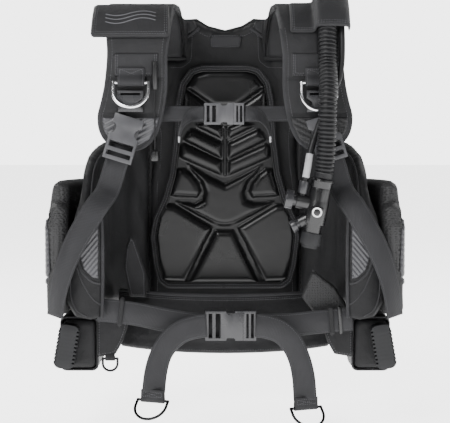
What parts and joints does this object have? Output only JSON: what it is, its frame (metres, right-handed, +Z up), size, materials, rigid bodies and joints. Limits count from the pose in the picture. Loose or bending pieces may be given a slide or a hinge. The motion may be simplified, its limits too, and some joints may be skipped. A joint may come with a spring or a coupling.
{
  "type": "buoyancy compensator vest",
  "caption": "Jacket-style buoyancy compensator vest with padded shoulders, side air cells, pockets, release buckles, corrugated inflator hose and rear tank band.",
  "frame": {"origin": "on the tank's axis at the middle of the tank band", "axes": "+Z up along the tank's axis, -Y towards the open front of the vest, -X to the wearer's right"},
  "size_m": [0.5856, 0.4813, 0.7055],
  "materials": {
    "cell_fabric": "coarse woven coated nylon",
    "pad_fabric": "smooth satin moulded foam",
    "panel_fabric": "padded ballistic nylon with bound edges",
    "pocket_fabric": "pocket cloth with zips",
    "webbing": "woven polyester webbing",
    "grip_rubber": "satin moulded rubber",
    "hard_plastic": "satin black moulded plastic",
    "grey_buckle": "satin grey moulded acetal",
    "dark_buckle": "satin dark grey moulded acetal",
    "ring_steel": "polished stainless steel",
    "black_ring": "black coated steel",
    "hose_rubber": "matt corrugated rubber"
  },
  "bodies": {
    "root": {"back_air_cell": "cell_fabric", "air_cell_wings": "cell_fabric", "back_pad": "pad_fabric", "cummerbund": "panel_fabric", "right_shoulder_panel": "panel_fabric", "left_shoulder_panel": "panel_fabric", "right_shoulder_flap": "panel_fabric", "hose_keeper_flap": "panel_fabric", "cargo_pockets": "pocket_fabric", "hip_panels": "cell_fabric", "weight_sleeves": "pocket_fabric", "backplate": "hard_plastic", "tank_band": "webbing", "cam_buckle": "hard_plastic", "cam_pin": "ring_steel", "upper_tank_strap": "webbing", "shoulder_dump_valve": "hard_plastic", "cord_tunnel": "webbing", "dump_cord": "hard_plastic", "rear_dump_valve": "hard_plastic", "hose_elbow": "hard_plastic", "inflator_hose_upper": "hose_rubber", "lp_hose_upper": "hose_rubber", "lp_hose_fitting": "ring_steel", "d_ring_webbing": "webbing", "shoulder_yokes": "grey_buckle", "shoulder_straps": "webbing", "sternum_straps": "webbing", "right_sternum_tail": "webbing", "sternum_buckle_body": "dark_buckle", "waist_straps": "webbing", "waist_buckle_body": "dark_buckle", "right_waist_tail": "webbing"},
    "right_weights": {"right_weight_pouch": "pocket_fabric", "right_weight_handle": "grip_rubber"},
    "left_weights": {"left_weight_pouch": "pocket_fabric", "left_weight_handle": "grip_rubber"},
    "cam_lever": {"cam_lever": "hard_plastic"},
    "carry_handle": {"carry_handle": "grip_rubber"},
    "dump_pull": {"dump_toggle": "hard_plastic"},
    "rear_dump_pull": {"rear_dump_toggle": "hard_plastic"},
    "inflator": {"inflator_hose_lower": "hose_rubber", "hose_cuff": "hard_plastic", "inflator_body": "hard_plastic", "mouthpiece": "hard_plastic", "lp_hose_lower": "hose_rubber"},
    "inflate_button": {"inflate_button": "hard_plastic"},
    "deflate_button": {"deflate_button": "ring_steel"},
    "lp_coupling": {"lp_coupling": "ring_steel"},
    "right_shoulder_ring": {"right_shoulder_d_ring": "ring_steel"},
    "left_shoulder_ring": {"left_shoulder_d_ring": "ring_steel"},
    "right_shoulder_buckle": {"right_shoulder_buckle": "grey_buckle"},
    "left_shoulder_buckle": {"left_shoulder_buckle": "grey_buckle"},
    "sternum_tongue": {"sternum_buckle_tongue": "dark_buckle", "left_sternum_tail": "webbing"},
    "waist_tongue": {"waist_buckle_tongue": "dark_buckle", "left_waist_tail": "webbing"},
    "right_waist_ring": {"right_waist_ring": "black_ring"},
    "left_waist_ring": {"left_waist_ring": "black_ring"},
    "hip_ring": {"hip_ring": "black_ring"}
  },
  "joints": [
    {"name": "right_weight_release", "type": "slide", "parent": "root", "child": "right_weights", "axis": [0, -1, 0], "range_m": [0, 0.15]},
    {"name": "left_weight_release", "type": "slide", "parent": "root", "child": "left_weights", "axis": [0, -1, 0], "range_m": [0, 0.15]},
    {"name": "cam_lever_turn", "type": "hinge", "parent": "root", "child": "cam_lever", "pos_m": [0.04407, 0.09781, 0], "axis": [0, 0, 1], "range_deg": [0, 110]},
    {"name": "carry_handle_fold", "type": "hinge", "parent": "root", "child": "carry_handle", "pos_m": [0, -0.1045, 0.252], "axis": [-1, 0, 0], "range_deg": [0, 45]},
    {"name": "dump_cord_pull", "type": "slide", "parent": "root", "child": "dump_pull", "axis": [0, 0, -1], "range_m": [0, 0.018], "stiffness_N_per_m": 800},
    {"name": "rear_dump_cord_pull", "type": "slide", "parent": "root", "child": "rear_dump_pull", "axis": [0, 0, -1], "range_m": [0, 0.01], "stiffness_N_per_m": 800},
    {"name": "inflator_lift", "type": "hinge", "parent": "root", "child": "inflator", "pos_m": [0.164, -0.335, 0.291], "axis": [-1, 0, 0], "range_deg": [0, 60]},
    {"name": "inflate_button_press", "type": "slide", "parent": "inflator", "child": "inflate_button", "axis": [0.9816, 0, -0.1908], "range_m": [0, 0.004], "stiffness_N_per_m": 900},
    {"name": "deflate_button_press", "type": "slide", "parent": "inflator", "child": "deflate_button", "axis": [0.8746, 0, 0.4848], "range_m": [0, 0.004], "stiffness_N_per_m": 900},
    {"name": "lp_coupling_slide", "type": "slide", "parent": "inflator", "child": "lp_coupling", "axis": [0.1908, 0, 0.9816], "range_m": [0, 0.006], "stiffness_N_per_m": 900},
    {"name": "right_shoulder_ring_swing", "type": "hinge", "parent": "root", "child": "right_shoulder_ring", "pos_m": [-0.151, -0.31, 0.254], "axis": [-1, 0, 0], "range_deg": [-18, 90]},
    {"name": "left_shoulder_ring_swing", "type": "hinge", "parent": "root", "child": "left_shoulder_ring", "pos_m": [0.151, -0.31, 0.254], "axis": [-1, 0, 0], "range_deg": [0, 3]},
    {"name": "right_shoulder_buckle_release", "type": "slide", "parent": "root", "child": "right_shoulder_buckle", "axis": [-0.2924, -0.0667, -0.954], "range_m": [0, 0.036]},
    {"name": "left_shoulder_buckle_release", "type": "slide", "parent": "root", "child": "left_shoulder_buckle", "axis": [0.2924, -0.0667, -0.954], "range_m": [0, 0.036]},
    {"name": "sternum_buckle_release", "type": "slide", "parent": "root", "child": "sternum_tongue", "axis": [1, 0, 0], "range_m": [0, 0.025]},
    {"name": "waist_buckle_release", "type": "slide", "parent": "root", "child": "waist_tongue", "axis": [1, 0, 0], "range_m": [0, 0.032]},
    {"name": "right_waist_ring_swing", "type": "hinge", "parent": "root", "child": "right_waist_ring", "pos_m": [-0.116, -0.341, -0.256], "axis": [-0.9397, 0.342, 0], "range_deg": [-40, 60]},
    {"name": "left_waist_ring_swing", "type": "hinge", "parent": "waist_tongue", "child": "left_waist_ring", "pos_m": [0.13, -0.341, -0.268], "axis": [-0.9397, -0.342, 0], "range_deg": [-40, 60]},
    {"name": "hip_ring_swing", "type": "hinge", "parent": "root", "child": "hip_ring", "pos_m": [-0.187, -0.31, -0.1935], "axis": [-1, 0, 0], "range_deg": [-60, 60]}
  ]
}
